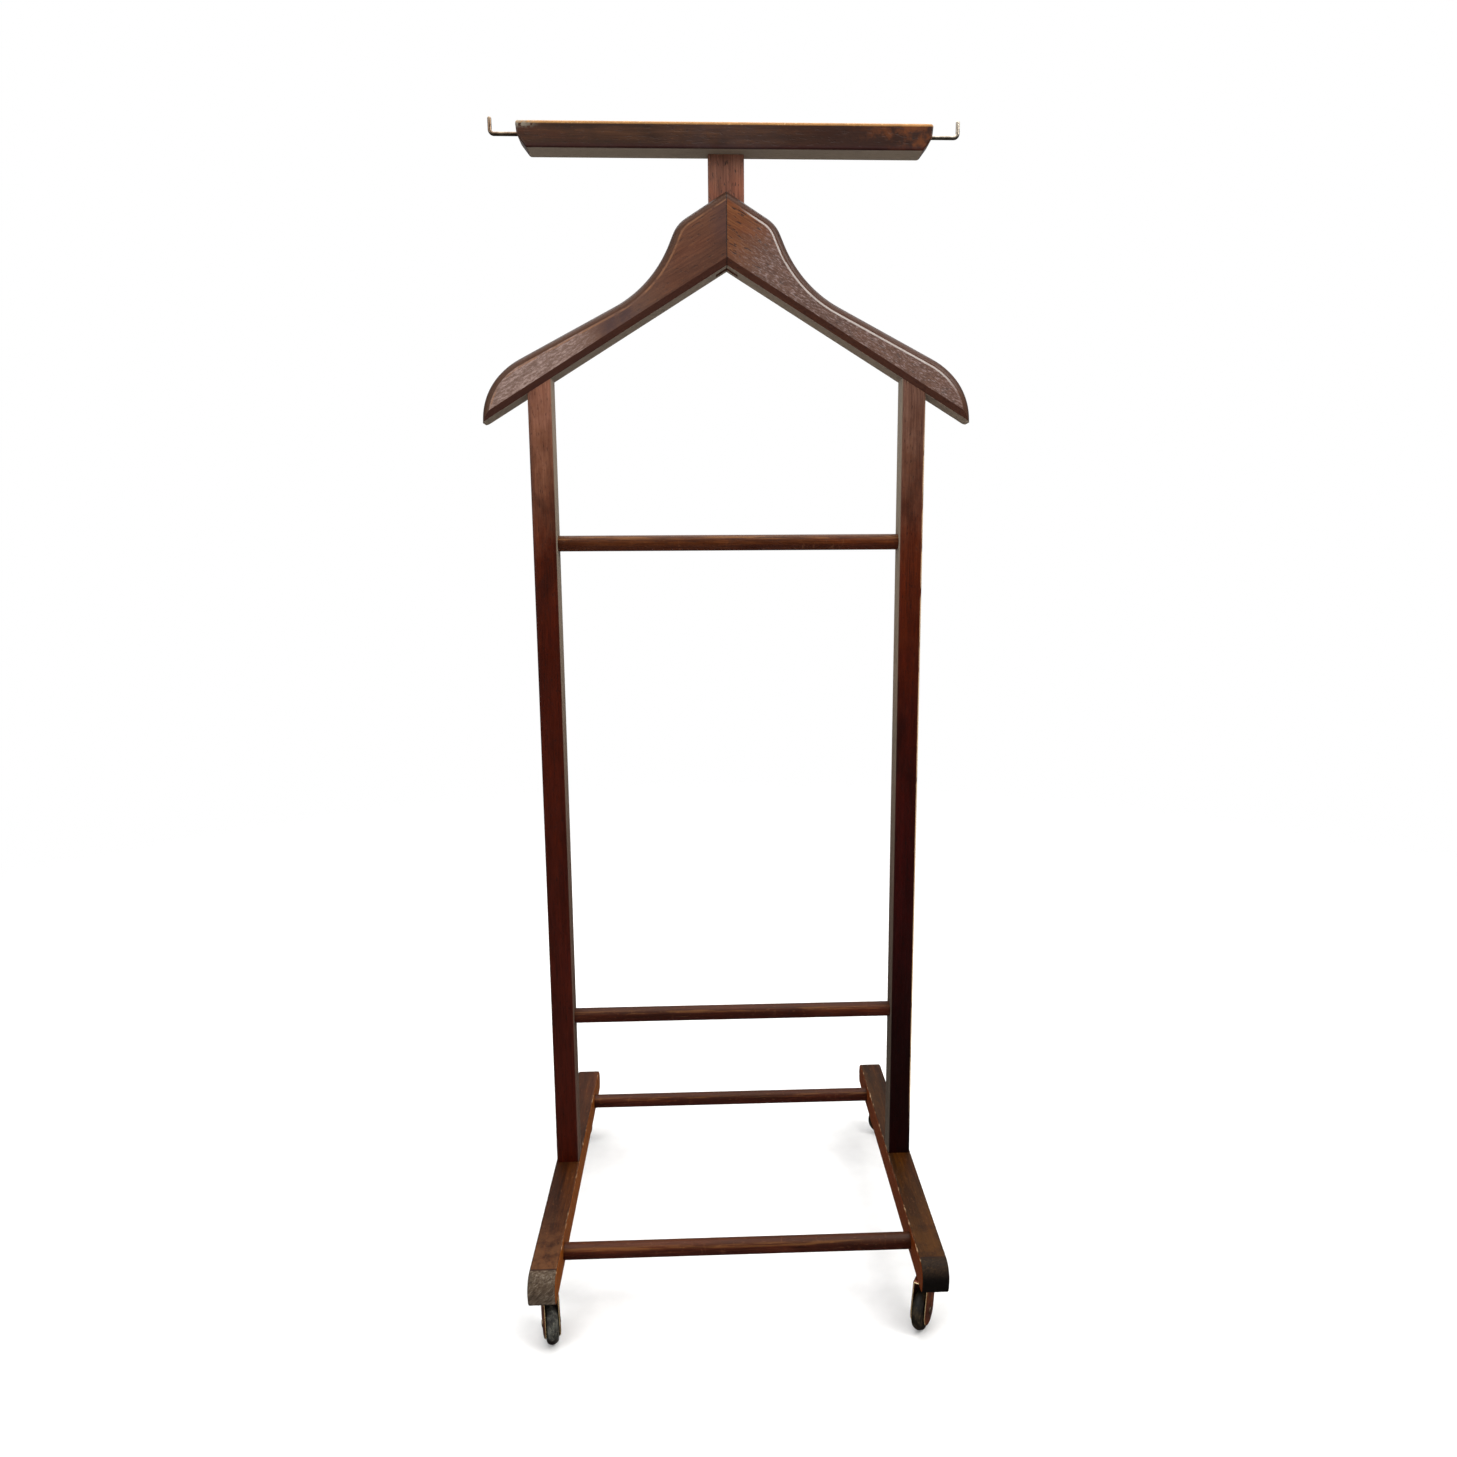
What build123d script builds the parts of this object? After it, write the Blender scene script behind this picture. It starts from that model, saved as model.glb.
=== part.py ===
"""Clothes valet on castors: two feet, two posts, a mitred coat hanger and a tray on a neck.

Millimetres. +Z is up, the front of the stand faces -Y, and "left" is the -X side.
The origin is on the floor, at the middle of the stand.
"""

from build123d import *
import math
import os

# ---------------------------------------------------------------- driving dimensions

# Feet and posts
SIDE_X = 176.0           # middle of each foot and post, from the middle of the stand
FOOT_WIDTH = 25.0
FOOT_HEIGHT = 27.5
FOOT_HALF_LENGTH = 187.5  # to the corner that the nose is rounded from
FOOT_RAKE = 4.5          # how far the end face slopes in from top to bottom
NOSE_RADIUS = 14.0
HEEL_RADIUS = 5.0
FOOT_EDGE = 1.6
POST_WIDTH = 23.0
POST_EDGE = 3.0
POST_TENON = 13.0
POST_TENON_LENGTH = 18.0

# Round bars
BAR_RADIUS = 7.5
BAR_DEPTH = 12.0         # how far each end goes into its hole
UPPER_BAR_Z = 722.0
LOWER_BAR_Z = 237.0
BASE_BAR_Y = 129.4

# Hanger
HANGER_FRONT = -14.5
HANGER_BACK = 12.5
HANGER_SLOPE = 31.3      # degrees, of the underside
PEAK_SLOPE = 31.9        # degrees, of the top beside the neck
PEAK_Z = 1038.5
CROTCH_Z = 973.7
FRONT_ROUND = 8.5
BACK_ROUND = 6.0
FRONT_BEVEL = 3.0
BACK_BEVEL = 1.2

# Neck
NECK_WIDTH = 33.2
NECK_FRONT = -3.0
NECK_BACK = 6.0
TENON_WIDTH = 20.0
TENON_CHEEK = 1.0        # shoulder at the front and back of the tenon
TENON_SHORT = 6.5        # the tenon stops this far above the hanger's underside
TOP_TENON_WIDTH = 24.0
TOP_TENON_LENGTH = 6.0

# Tray
TRAY_BOTTOM = 1071.5
TRAY_HEIGHT = 23.0
TRAY_FRONT = -15.0
TRAY_BACK = 9.0
TRAY_HALF_LENGTH = 188.5
TRAY_KNUCKLE = (187.3, 11.0)   # half length and height where the end starts to slope
TRAY_FOOT = 179.0              # half length along the bottom
TROUGH_LENGTH = 334.0
TROUGH_WIDTH = 16.0
TROUGH_DEPTH = 9.0

# Wire hooks
WIRE_RADIUS = 1.8
HOOK_Z = 1087.0
HOOK_X = 213.0
HOOK_TOP = 1101.5
HOOK_BEND = 3.6
HOOK_GRIP = 17.0         # length inside the tray

# Dowels and screws
DOWEL_RADIUS = 4.0
DOWEL_HALF = 15.0
MITRE_DOWEL_RADIUS = 3.0
MITRE_DOWEL_HALF = 13.0
MITRE_DOWEL_Y = -8.0
MITRE_DOWEL_Z = (989.0, 1011.0)
FOOT_SCREW_RADIUS = 2.25
FOOT_SCREW_LENGTH = 52.0
TRAY_SCREW_RADIUS = 1.5
TRAY_SCREW_LENGTH = 36.0
TRAY_SCREW_X = 8.0
GLUE = 0.1               # gap round every dowel, bar end and screw
HOLE_SPARE = 1.0         # extra depth of every blind hole

# Castors: stems are STEM_Y from the middle of the stand
STEM_Y = 149.5
FOOT_BOTTOM = 50.5
WHEEL_RADIUS = 18.5
WHEEL_WIDTH = 10.0
CORE_RADIUS = 12.5
TRAIL = 13.0             # from the stem's axis to the axle's
FORK_WIDTH = 15.0
SHEET = 1.4
FORK_EYE = 13.0          # radius of the cheeks' rounded lower ends
STEM_RADIUS = 4.0
STEM_LENGTH = 21.0
AXLE_RADIUS = 2.0
RUNNING_FIT = 0.08
SOCKET_RADIUS = 5.2
SOCKET_LENGTH = 23.0
FLANGE_RADIUS = 8.5
FLANGE = 1.4
BODY_GAP = 0.3
# name: side along X, side along Y, and the direction in degrees that the wheel trails in
CASTORS = {
    "front_left": (-1, -1, -74.0),
    "front_right": (1, -1, -120.0),
    "back_left": (-1, 1, 172.0),
    "back_right": (1, 1, 8.0),
}

# ---------------------------------------------------------------- worked out from those

FOOT_TOP = FOOT_BOTTOM + FOOT_HEIGHT
FOOT_MID_Z = FOOT_BOTTOM + FOOT_HEIGHT / 2
POST_INNER = SIDE_X - POST_WIDTH / 2
FOOT_INNER = SIDE_X - FOOT_WIDTH / 2
SLOPE = math.tan(math.radians(HANGER_SLOPE))
PEAK_FALL = math.tan(math.radians(PEAK_SLOPE))
TRAY_TOP = TRAY_BOTTOM + TRAY_HEIGHT
TROUGH_FLOOR = TRAY_TOP - TROUGH_DEPTH
TRAY_MID_Y = (TRAY_FRONT + TRAY_BACK) / 2
NECK_MID_Y = (NECK_FRONT + NECK_BACK) / 2
FLANGE_BOTTOM = FOOT_BOTTOM - FLANGE
FORK_TOP = FLANGE_BOTTOM - BODY_GAP - SHEET


def underside(x):
    """Height of the hanger's underside at a distance x from the middle."""
    return CROTCH_Z - SLOPE * abs(x)


def upright(radius, low, high, x=0.0, y=0.0):
    """A vertical cylinder between two heights."""
    return Pos(x, y, (low + high) / 2) * Cylinder(radius, high - low)


def crosswise(radius, start, end, y, z):
    """A cylinder along X between two places."""
    return Pos((start + end) / 2, y, z) * Rot(0, 90, 0) * Cylinder(radius, abs(end - start))


def block(x, y, z):
    """A box from its (low, high) limits along each axis."""
    size = [high - low for low, high in (x, y, z)]
    middle = [(high + low) / 2 for low, high in (x, y, z)]
    return Pos(*middle) * Box(*size)


def across(outline_face, front, back):
    """A solid from a face drawn in X and Z, reaching from front to back."""
    return extrude(Pos(0, back, 0) * outline_face, amount=back - front)


def mirrored(solid):
    """The left-hand copy of a right-hand solid."""
    return mirror(solid, about=Plane.YZ)


# ---------------------------------------------------------------- base


def foot():
    """The right foot: a beam with rounded noses, drilled for its post, bars and castors."""
    top, bottom = FOOT_TOP, FOOT_BOTTOM
    length, rake = FOOT_HALF_LENGTH, FOOT_RAKE
    outline = Polyline(
        (-length, top), (length, top), (length - rake, bottom), (-length + rake, bottom), close=True
    )
    side = Plane.YZ * make_face(outline)
    corners = side.vertices()
    side = fillet([v for v in corners if v.Z > FOOT_MID_Z], NOSE_RADIUS)
    side = fillet([v for v in side.vertices() if v.Z < bottom + 0.01], HEEL_RADIUS)
    beam = extrude(Pos(SIDE_X - FOOT_WIDTH / 2, 0, 0) * side, amount=FOOT_WIDTH)
    faces = beam.faces().sort_by(Axis.X)
    beam = fillet(faces[0].edges() + faces[-1].edges(), FOOT_EDGE)

    half = POST_TENON / 2
    beam -= block(
        (SIDE_X - half, SIDE_X + half),
        (-half, half),
        (top - POST_TENON_LENGTH - HOLE_SPARE, top + 1),
    )
    beam -= upright(FOOT_SCREW_RADIUS + GLUE, bottom - 1, top, SIDE_X)
    beam -= screw_head(FOOT_SCREW_RADIUS, bottom, up=True, spare=GLUE, x=SIDE_X)
    for y in (-BASE_BAR_Y, BASE_BAR_Y):
        hole_end = FOOT_INNER + BAR_DEPTH + HOLE_SPARE
        beam -= crosswise(BAR_RADIUS + GLUE, FOOT_INNER - 1, hole_end, y, FOOT_MID_Z)
    for y in (-STEM_Y, STEM_Y):
        beam -= upright(SOCKET_RADIUS + GLUE, bottom - 1, bottom + SOCKET_LENGTH, SIDE_X, y)
    return beam


def post():
    """The right post: rounded edges, a top cut to the hanger's slope, a tenon at the bottom."""
    half = POST_WIDTH / 2
    section = Pos(SIDE_X, 0, 0) * RectangleRounded(POST_WIDTH, POST_WIDTH, POST_EDGE)
    body = extrude(Pos(0, 0, FOOT_TOP) * section, amount=CROTCH_Z - FOOT_TOP)
    inner, outer = SIDE_X - POST_WIDTH, SIDE_X + POST_WIDTH
    above = Polyline(
        (inner, underside(inner)), (outer, underside(outer)), (outer, PEAK_Z), (inner, PEAK_Z),
        close=True,
    )
    body -= across(Plane.XZ * make_face(above), -POST_WIDTH, POST_WIDTH)

    half = POST_TENON / 2
    body += block(
        (SIDE_X - half, SIDE_X + half), (-half, half), (FOOT_TOP - POST_TENON_LENGTH, FOOT_TOP + 1)
    )
    dowel_low = underside(SIDE_X) - DOWEL_HALF - HOLE_SPARE
    body -= upright(DOWEL_RADIUS + GLUE, dowel_low, CROTCH_Z, SIDE_X)
    screw_top = FOOT_BOTTOM + FOOT_SCREW_LENGTH + HOLE_SPARE
    body -= upright(FOOT_SCREW_RADIUS + GLUE, FOOT_BOTTOM, screw_top, SIDE_X)
    for z in (LOWER_BAR_Z, UPPER_BAR_Z):
        hole_end = POST_INNER + BAR_DEPTH + HOLE_SPARE
        body -= crosswise(BAR_RADIUS + GLUE, POST_INNER - 1, hole_end, 0, z)
    return body


def bar(inner, y, z):
    """A round bar between two inner faces, its ends in their holes."""
    reach = inner + BAR_DEPTH
    rod = crosswise(BAR_RADIUS, -reach, reach, y, z)
    return chamfer(rod.edges().filter_by(GeomType.CIRCLE), 0.8)


# ---------------------------------------------------------------- screws and dowels


def screw_head(radius, z, up, spare=0.0, x=0.0, y=0.0):
    """A countersunk head with its flat face at height z; up means that the shank goes up."""
    height = radius
    cone = Cone(2 * radius + spare, radius + spare, height)
    if not up:
        cone = Rot(180, 0, 0) * cone
    middle = z + height / 2 if up else z - height / 2
    return Pos(x, y, middle) * cone


def wood_screw(radius, length, z, up, x, y=0.0):
    """A countersunk wood screw with a tapered point and a straight slot."""
    tip = 2.2 * radius
    shank = length - tip
    sign = 1 if up else -1
    low, high = sorted((z + sign * radius / 2, z + sign * shank))
    screw = screw_head(radius, z, up, 0.0, x, y) + upright(radius, low, high, x, y)
    point = Cone(radius, 0.3, tip)
    if not up:
        point = Rot(180, 0, 0) * point
    screw += Pos(x, y, z + sign * (shank + tip / 2)) * point
    slot = Box(4.5 * radius, 0.4 * radius, 0.8 * radius)
    return screw - Pos(x, y, z) * slot


def dowel(radius, half):
    """A wooden dowel with chamfered ends, lying along Z about the origin."""
    pin = Cylinder(radius, 2 * half)
    return chamfer(pin.edges().filter_by(GeomType.CIRCLE), 0.6)


# ---------------------------------------------------------------- hanger and neck


def arm_blank():
    """The right arm's outline in X and Z, before the mitre and the underside are cut."""
    steep, easy, turn, end = -66.7, -27.5, -47.0, -87.3
    spare = 20.0
    along = Vector(1, 0).rotate(Axis.Z, -PEAK_SLOPE)
    peak = Vector(0, PEAK_Z)
    top = Line(peak - along * spare, peak + along * 44.5)
    shoulder = JernArc(top @ 1, top % 1, 30.0, steep + PEAK_SLOPE)
    fall = Line(shoulder @ 1, shoulder @ 1 + (shoulder % 1) * 9.2)
    sweep_in = JernArc(fall @ 1, fall % 1, 112.0, easy - steep)
    back = Line(sweep_in @ 1, sweep_in @ 1 + (sweep_in % 1) * 101.0)
    round_over = JernArc(back @ 1, back % 1, 75.0, turn - easy)
    nose = JernArc(round_over @ 1, round_over % 1, 60.0, end - turn)
    low_tip = nose @ 1 + (nose % 1) * spare
    start = top @ 0
    closing = Polyline(low_tip, (start.X, CROTCH_Z - spare), start)
    return [top, shoulder, fall, sweep_in, back, round_over, nose, Line(nose @ 1, low_tip), closing]


def bevel_along_underside(y, size):
    """The wedge that bevels the underside's long edge at the front or back face."""
    inward = 1 if y < 0 else -1
    wedge = Polyline(
        (y - inward, -size), (y + inward * size, -size), (y - inward, size + 1), close=True
    )
    section = Plane.YZ * make_face(wedge)
    long_wedge = extrude(Pos(-20, 0, 0) * section, amount=400)
    return Pos(0, 0, CROTCH_Z) * Rot(0, HANGER_SLOPE, 0) * Pos(0, 0, size) * long_wedge


def hanger_arm():
    """The right arm, ending at the mitre in the middle of the stand."""
    arm = across(Plane.XZ * make_face(arm_blank()), HANGER_FRONT, HANGER_BACK)
    for y, radius in ((HANGER_FRONT, FRONT_ROUND), (HANGER_BACK, BACK_ROUND)):
        rim = arm.edges().filter_by(lambda e: abs(e.center().Y - y) < 0.01)
        top_rim = [e for e in rim if e.center().Z > underside(e.center().X) + 2]
        arm = fillet([e for e in top_rim if e.center().X > -5], radius)
    low, far, high = CROTCH_Z - 200, 300.0, PEAK_Z + 20
    waste = Polyline(
        (0, CROTCH_Z), (far, underside(far)), (far, low), (-far, low), (-far, high), (0, high),
        close=True,
    )
    arm -= across(Plane.XZ * make_face(waste), HANGER_FRONT - 1, HANGER_BACK + 1)
    arm -= bevel_along_underside(HANGER_FRONT, FRONT_BEVEL)
    arm -= bevel_along_underside(HANGER_BACK, BACK_BEVEL)

    half = TENON_WIDTH / 2 + GLUE
    tenon_front = NECK_FRONT + TENON_CHEEK - GLUE
    tenon_back = NECK_BACK - TENON_CHEEK + GLUE
    arm -= block((-half, half), (tenon_front, tenon_back), (CROTCH_Z - 20, PEAK_Z + 10))
    dowel_top = underside(SIDE_X) + DOWEL_HALF + HOLE_SPARE
    arm -= upright(DOWEL_RADIUS + GLUE, underside(SIDE_X) - 20, dowel_top, SIDE_X)
    for z in MITRE_DOWEL_Z:
        hole_end = MITRE_DOWEL_HALF + HOLE_SPARE
        arm -= crosswise(MITRE_DOWEL_RADIUS + GLUE, -1, hole_end, MITRE_DOWEL_Y, z)
    return arm


def neck():
    """The flat board from the hanger to the tray, with a tenon at each end."""
    half = NECK_WIDTH / 2
    foot_z = PEAK_Z - PEAK_FALL * half
    shape = Polyline(
        (-half, TRAY_BOTTOM), (half, TRAY_BOTTOM), (half, foot_z), (0, PEAK_Z), (-half, foot_z),
        close=True,
    )
    board = across(Plane.XZ * make_face(shape), NECK_FRONT, NECK_BACK)
    upper_edges = board.edges().filter_by(Axis.Z)
    board = fillet(upper_edges, 1.2)
    depth = (NECK_FRONT + TENON_CHEEK, NECK_BACK - TENON_CHEEK)
    low = CROTCH_Z + TENON_SHORT
    board += block((-TENON_WIDTH / 2, TENON_WIDTH / 2), depth, (low, PEAK_Z + 5))
    top_half = TOP_TENON_WIDTH / 2
    board += block((-top_half, top_half), depth, (TRAY_BOTTOM - 5, TRAY_BOTTOM + TOP_TENON_LENGTH))
    for x in (-TRAY_SCREW_X, TRAY_SCREW_X):
        pilot_low = TROUGH_FLOOR - TRAY_SCREW_LENGTH - HOLE_SPARE
        board -= upright(TRAY_SCREW_RADIUS + GLUE, pilot_low, TRAY_TOP, x, NECK_MID_Y)
    return board


# ---------------------------------------------------------------- tray and hooks


def tray():
    """The tray: a narrow length of wood with sloping ends and a trough cut in its top."""
    knuckle_x, knuckle_up = TRAY_KNUCKLE
    knuckle_z = TRAY_BOTTOM + knuckle_up
    outline = Polyline(
        (-TRAY_HALF_LENGTH, TRAY_TOP), (TRAY_HALF_LENGTH, TRAY_TOP), (knuckle_x, knuckle_z),
        (TRAY_FOOT, TRAY_BOTTOM), (-TRAY_FOOT, TRAY_BOTTOM), (-knuckle_x, knuckle_z),
        close=True,
    )
    front = Plane.XZ * make_face(outline)
    front = fillet([v for v in front.vertices() if v.Z > TRAY_TOP - 1], 2.5)
    front = fillet([v for v in front.vertices() if abs(v.Z - knuckle_z) < 0.1], 7.0)
    front = fillet([v for v in front.vertices() if v.Z < TRAY_BOTTOM + 0.1], 4.0)
    body = across(front, TRAY_FRONT, TRAY_BACK)

    ends = (TRAY_FRONT, TRAY_BACK)
    rim = [e for e in body.edges() if any(abs(e.center().Y - y) < 0.01 for y in ends)]
    body = fillet(rim, 1.8)

    trough_plane = Pos(0, TRAY_MID_Y, TROUGH_FLOOR)
    trough = extrude(trough_plane * SlotOverall(TROUGH_LENGTH, TROUGH_WIDTH), amount=TROUGH_DEPTH + 5)
    trough = fillet(trough.faces().sort_by(Axis.Z)[0].edges(), 2.5)
    body -= trough
    lip = [
        e for e in body.faces().sort_by(Axis.Z)[-1].edges()
        if abs(e.center().Y - TRAY_MID_Y) < TROUGH_WIDTH / 2 + 0.1
    ]
    body = fillet(lip, 1.2)

    half = TOP_TENON_WIDTH / 2 + GLUE
    tenon_front = NECK_FRONT + TENON_CHEEK - GLUE
    tenon_back = NECK_BACK - TENON_CHEEK + GLUE
    mortise_top = TRAY_BOTTOM + TOP_TENON_LENGTH + 0.5
    body -= block((-half, half), (tenon_front, tenon_back), (TRAY_BOTTOM - 1, mortise_top))
    for x in (-TRAY_SCREW_X, TRAY_SCREW_X):
        body -= upright(TRAY_SCREW_RADIUS + GLUE, TRAY_BOTTOM, TRAY_TOP, x, NECK_MID_Y)
        body -= screw_head(TRAY_SCREW_RADIUS, TROUGH_FLOOR, False, GLUE, x, NECK_MID_Y)
    for side in (-1, 1):
        start = side * (TRAY_HALF_LENGTH + 5)
        hole_end = side * (knuckle_x - HOOK_GRIP - HOLE_SPARE)
        body -= crosswise(WIRE_RADIUS + GLUE, start, hole_end, TRAY_MID_Y, HOOK_Z)
    return body


def wire_hook():
    """The right hook: a wire out of the tray's end, bent up, with a rounded tip."""
    start = (TRAY_KNUCKLE[0] - HOOK_GRIP, TRAY_MID_Y, HOOK_Z)
    corner = (HOOK_X, TRAY_MID_Y, HOOK_Z)
    end = (HOOK_X, TRAY_MID_Y, HOOK_TOP - WIRE_RADIUS)
    path = FilletPolyline(start, corner, end, radius=HOOK_BEND)
    section = Plane(origin=start, z_dir=(1, 0, 0)) * Circle(WIRE_RADIUS)
    return sweep(section, path=path) + Pos(*end) * Sphere(WIRE_RADIUS)


# ---------------------------------------------------------------- castors
# Each castor is drawn with its stem on the Z axis and its wheel trailing along +X.


def castor_socket():
    """The sleeve driven into the foot, closed at the top, with a flange under the foot."""
    sleeve_top = FOOT_BOTTOM + SOCKET_LENGTH - HOLE_SPARE
    sleeve = upright(SOCKET_RADIUS, FLANGE_BOTTOM, sleeve_top)
    flange = upright(FLANGE_RADIUS, FLANGE_BOTTOM, FOOT_BOTTOM)
    flange = chamfer(flange.edges().group_by(Axis.Z)[0], 0.4)
    return sleeve + flange - upright(STEM_RADIUS + RUNNING_FIT, FLANGE_BOTTOM - 1, sleeve_top - 1)


def castor_stem():
    """The pin that turns in the socket: a collar above the fork and a riveted head below it."""
    collar = upright(STEM_RADIUS + 2, FORK_TOP, FORK_TOP + SHEET)
    pin = upright(STEM_RADIUS, FORK_TOP - SHEET - 1, FOOT_BOTTOM + STEM_LENGTH)
    pin = chamfer(pin.edges().group_by(Axis.Z)[-1], 1.0)
    head = upright(STEM_RADIUS + 1.6, FORK_TOP - SHEET - 1.4, FORK_TOP - SHEET)
    head = fillet(head.edges().group_by(Axis.Z)[0], 0.8)
    return pin + collar + head


def castor_fork():
    """The stamped fork: a top plate and two cheeks that taper down to the axle."""
    plate_low = FORK_TOP - SHEET
    with BuildSketch(Plane.XZ) as cheek:
        with Locations((TRAIL, WHEEL_RADIUS)):
            Circle(FORK_EYE)
        with Locations((TRAIL / 2, FORK_TOP - 4)):
            RectangleRounded(2 * TRAIL, 8, 3.5)
        make_hull()
    block_shape = across(cheek.sketch, -FORK_WIDTH / 2, FORK_WIDTH / 2)
    bends = [
        e for e in block_shape.edges().filter_by(Axis.X)
        if e.center().Z > FORK_TOP - 0.1
    ]
    block_shape = fillet(bends, 1.8)
    inner = FORK_WIDTH / 2 - SHEET
    fork = block_shape - block((-50, 50), (-inner, inner), (0, plate_low))
    fork -= upright(STEM_RADIUS + GLUE / 2, 0, FORK_TOP + 5)
    eye = Pos(TRAIL, 0, WHEEL_RADIUS) * Rot(90, 0, 0) * Cylinder(AXLE_RADIUS + GLUE / 2, 40)
    return fork - eye


def lying(radius, half, round_ends=0.0):
    """A cylinder on the axle's line, reaching half its length to each side."""
    rod = Cylinder(radius, 2 * half)
    if round_ends:
        rod = fillet(rod.edges().filter_by(GeomType.CIRCLE), round_ends)
    return Pos(TRAIL, 0, WHEEL_RADIUS) * Rot(90, 0, 0) * rod


def castor_axle():
    """The axle: a rivet through both cheeks, with a domed head on each side."""
    head_thickness = 1.1
    outer = FORK_WIDTH / 2 + head_thickness
    heads = lying(3.3, outer, 0.9) - lying(10, FORK_WIDTH / 2)
    return lying(AXLE_RADIUS, FORK_WIDTH / 2 + 0.2) + heads


def castor_core():
    """The wheel's core: a disc with a dished face each side and a boss on the axle."""
    boss_half = FORK_WIDTH / 2 - SHEET - BODY_GAP
    half = WHEEL_WIDTH / 2 - 0.6
    disc = lying(CORE_RADIUS, half)
    for side in (-1, 1):
        dish = Cylinder(CORE_RADIUS - 1.8, 2.4) - Cylinder(AXLE_RADIUS + 2.2, 3)
        disc -= Pos(TRAIL, side * half, WHEEL_RADIUS) * Rot(90, 0, 0) * dish
    return disc + lying(AXLE_RADIUS + 2.0, boss_half) - lying(AXLE_RADIUS + RUNNING_FIT, 20)


def castor_tyre():
    """The tyre: a ring with a crowned tread."""
    low, high = CORE_RADIUS + GLUE / 2, WHEEL_RADIUS
    half = WHEEL_WIDTH / 2
    crown = 1.0
    shoulder = high - 2.6
    wall = Polyline((half, shoulder), (half, low), (-half, low), (-half, shoulder))
    corner = 0.35 * half
    left = RadiusArc((-half, shoulder), (-half + corner, high - crown), 2.9)
    tread = ThreePointArc((-half + corner, high - crown), (0, high), (half - corner, high - crown))
    right = RadiusArc((half - corner, high - crown), (half, shoulder), 2.9)
    section = Plane.YZ * make_face([wall, left, tread, right])
    ring = revolve(section, Axis.Y)
    return Pos(TRAIL, 0, WHEEL_RADIUS) * ring


# ---------------------------------------------------------------- the whole stand


def build():
    """Every node of the stand, by name."""
    nodes = {}

    def both_sides(name, right):
        nodes[name + "_right"] = right
        nodes[name + "_left"] = mirrored(right)

    both_sides("foot", foot())
    both_sides("post", post())
    both_sides("hanger_arm", hanger_arm())
    both_sides("wire_hook", wire_hook())
    nodes["upper_bar"] = bar(POST_INNER, 0, UPPER_BAR_Z)
    nodes["lower_bar"] = bar(POST_INNER, 0, LOWER_BAR_Z)
    nodes["base_bar_front"] = bar(FOOT_INNER, -BASE_BAR_Y, FOOT_MID_Z)
    nodes["base_bar_back"] = bar(FOOT_INNER, BASE_BAR_Y, FOOT_MID_Z)
    nodes["neck"] = neck()
    nodes["tray"] = tray()

    sides = (-SIDE_X, SIDE_X)
    nodes["post_dowels"] = Compound(
        children=[Pos(x, 0, underside(x)) * dowel(DOWEL_RADIUS, DOWEL_HALF) for x in sides]
    )
    nodes["mitre_dowels"] = Compound(
        children=[
            Pos(0, MITRE_DOWEL_Y, z) * Rot(0, 90, 0) * dowel(MITRE_DOWEL_RADIUS, MITRE_DOWEL_HALF)
            for z in MITRE_DOWEL_Z
        ]
    )
    nodes["foot_screws"] = Compound(
        children=[
            wood_screw(FOOT_SCREW_RADIUS, FOOT_SCREW_LENGTH, FOOT_BOTTOM, True, x) for x in sides
        ]
    )
    nodes["tray_screws"] = Compound(
        children=[
            wood_screw(TRAY_SCREW_RADIUS, TRAY_SCREW_LENGTH, TROUGH_FLOOR, False, x, NECK_MID_Y)
            for x in (-TRAY_SCREW_X, TRAY_SCREW_X)
        ]
    )

    castor_parts = {
        "socket": castor_socket(),
        "stem": castor_stem(),
        "fork": castor_fork(),
        "axle": castor_axle(),
        "core": castor_core(),
        "tyre": castor_tyre(),
    }
    for place, (x_side, y_side, heading) in CASTORS.items():
        put = Pos(x_side * SIDE_X, y_side * STEM_Y, 0) * Rot(0, 0, heading)
        for part, solid in castor_parts.items():
            nodes[f"castor_{part}_{place}"] = put * solid
    return nodes


os.makedirs("parts", exist_ok=True)
for name, solid in build().items():
    export_step(solid, f"parts/{name}.step")
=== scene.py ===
import math

import bpy
from mathutils import Matrix, Vector

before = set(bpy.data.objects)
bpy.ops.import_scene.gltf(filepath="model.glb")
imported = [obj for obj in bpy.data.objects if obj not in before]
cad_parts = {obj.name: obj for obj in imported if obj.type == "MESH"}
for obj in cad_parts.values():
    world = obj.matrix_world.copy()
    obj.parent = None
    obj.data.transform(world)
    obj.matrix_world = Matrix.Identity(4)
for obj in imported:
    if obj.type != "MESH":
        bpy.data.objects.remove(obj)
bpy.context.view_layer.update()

# Metres, in the CAD's own frame: +Z is up, the stand's front faces -Y, and left is the -X side.

LEFT, RIGHT = -1, 1
CASTORS = ("front_left", "front_right", "back_left", "back_right")


def box_of(node):
    """The lowest and the highest corner of a CAD piece at rest."""
    corners = [Vector(corner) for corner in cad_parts[node].bound_box]
    return corners[0], corners[6]


# ---------------------------------------------------------------- node helpers


def srgb(red, green, blue):
    """A linear colour from the usual 0 to 255 numbers."""
    made = []
    for value in (red, green, blue):
        share = value / 255
        made.append(share / 12.92 if share <= 0.04045 else ((share + 0.055) / 1.055) ** 2.4)
    return (*made, 1.0)


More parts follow.
